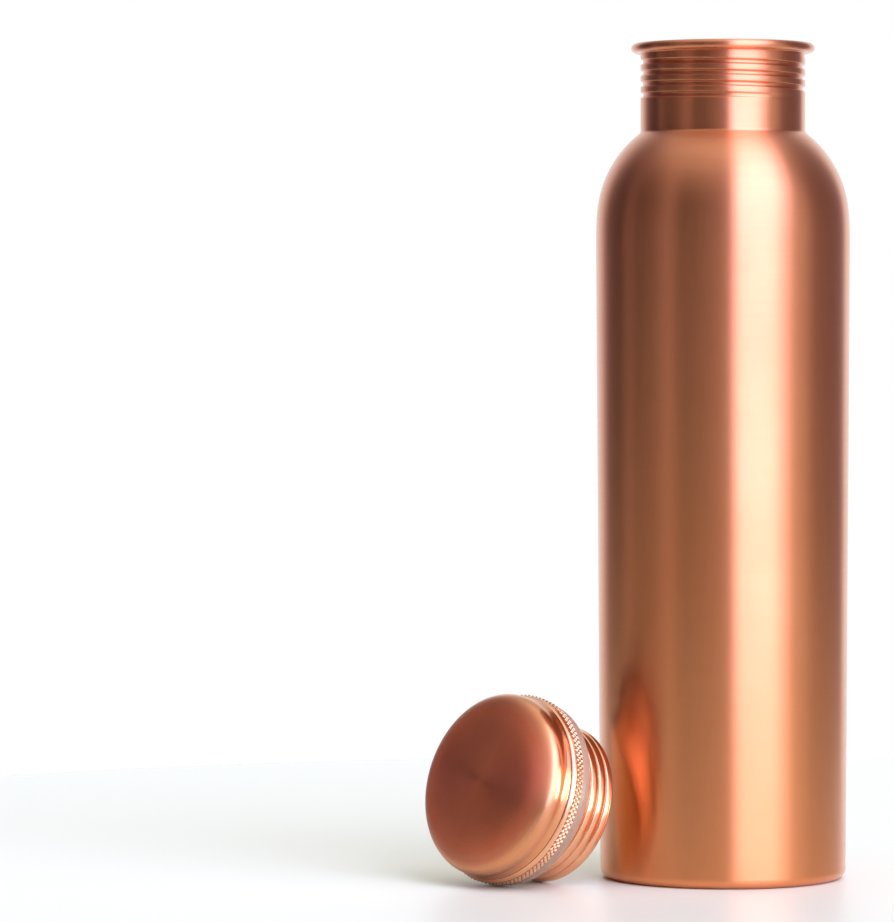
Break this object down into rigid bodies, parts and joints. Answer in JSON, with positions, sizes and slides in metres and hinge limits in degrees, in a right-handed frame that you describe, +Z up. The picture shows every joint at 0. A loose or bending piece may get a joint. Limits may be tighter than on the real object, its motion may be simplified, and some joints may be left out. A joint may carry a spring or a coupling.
{
  "type": "copper water bottle",
  "caption": "Tall copper water bottle with a domed shoulder, a rolled screw thread and a rolled lip, its knurled screw stopper off and lying beside it.",
  "frame": {"origin": "centre of the bottle's flat base, on the surface that the bottle and its stopper stand on", "axes": "+Z up along the bottle's axis to the mouth; -Y faces the viewer of the resting arrangement; the stopper lies towards -X"},
  "size_m": [0.1289, 0.087, 0.253],
  "materials": {
    "bottle_copper": "lacquered copper, polished with fine lines round the axis",
    "crown_copper": "copper, face turned to a fine circular satin, side polished",
    "bright_copper": "copper, polished bright",
    "clear_silicone": "milky translucent silicone rubber, smooth satin"
  },
  "bodies": {
    "bottle": {"bottle_shell": "bottle_copper"},
    "seal": {"seal_ring": "clear_silicone"},
    "cap": {"cap_crown": "crown_copper", "knurled_flange": "bright_copper", "cap_plug": "bright_copper", "plug_end_disc": "bright_copper"}
  },
  "joints": [
    {"name": "cap_lift", "type": "slide", "parent": "bottle", "child": "seal", "axis": [0, 0, 1], "range_m": [0, 0.27]},
    {"name": "cap_turn", "type": "hinge", "parent": "seal", "child": "cap", "pos_m": [-0.06103, -0.01863, 0.02685], "axis": [0.7063, 0.6472, -0.2867], "continuous": true}
  ]
}
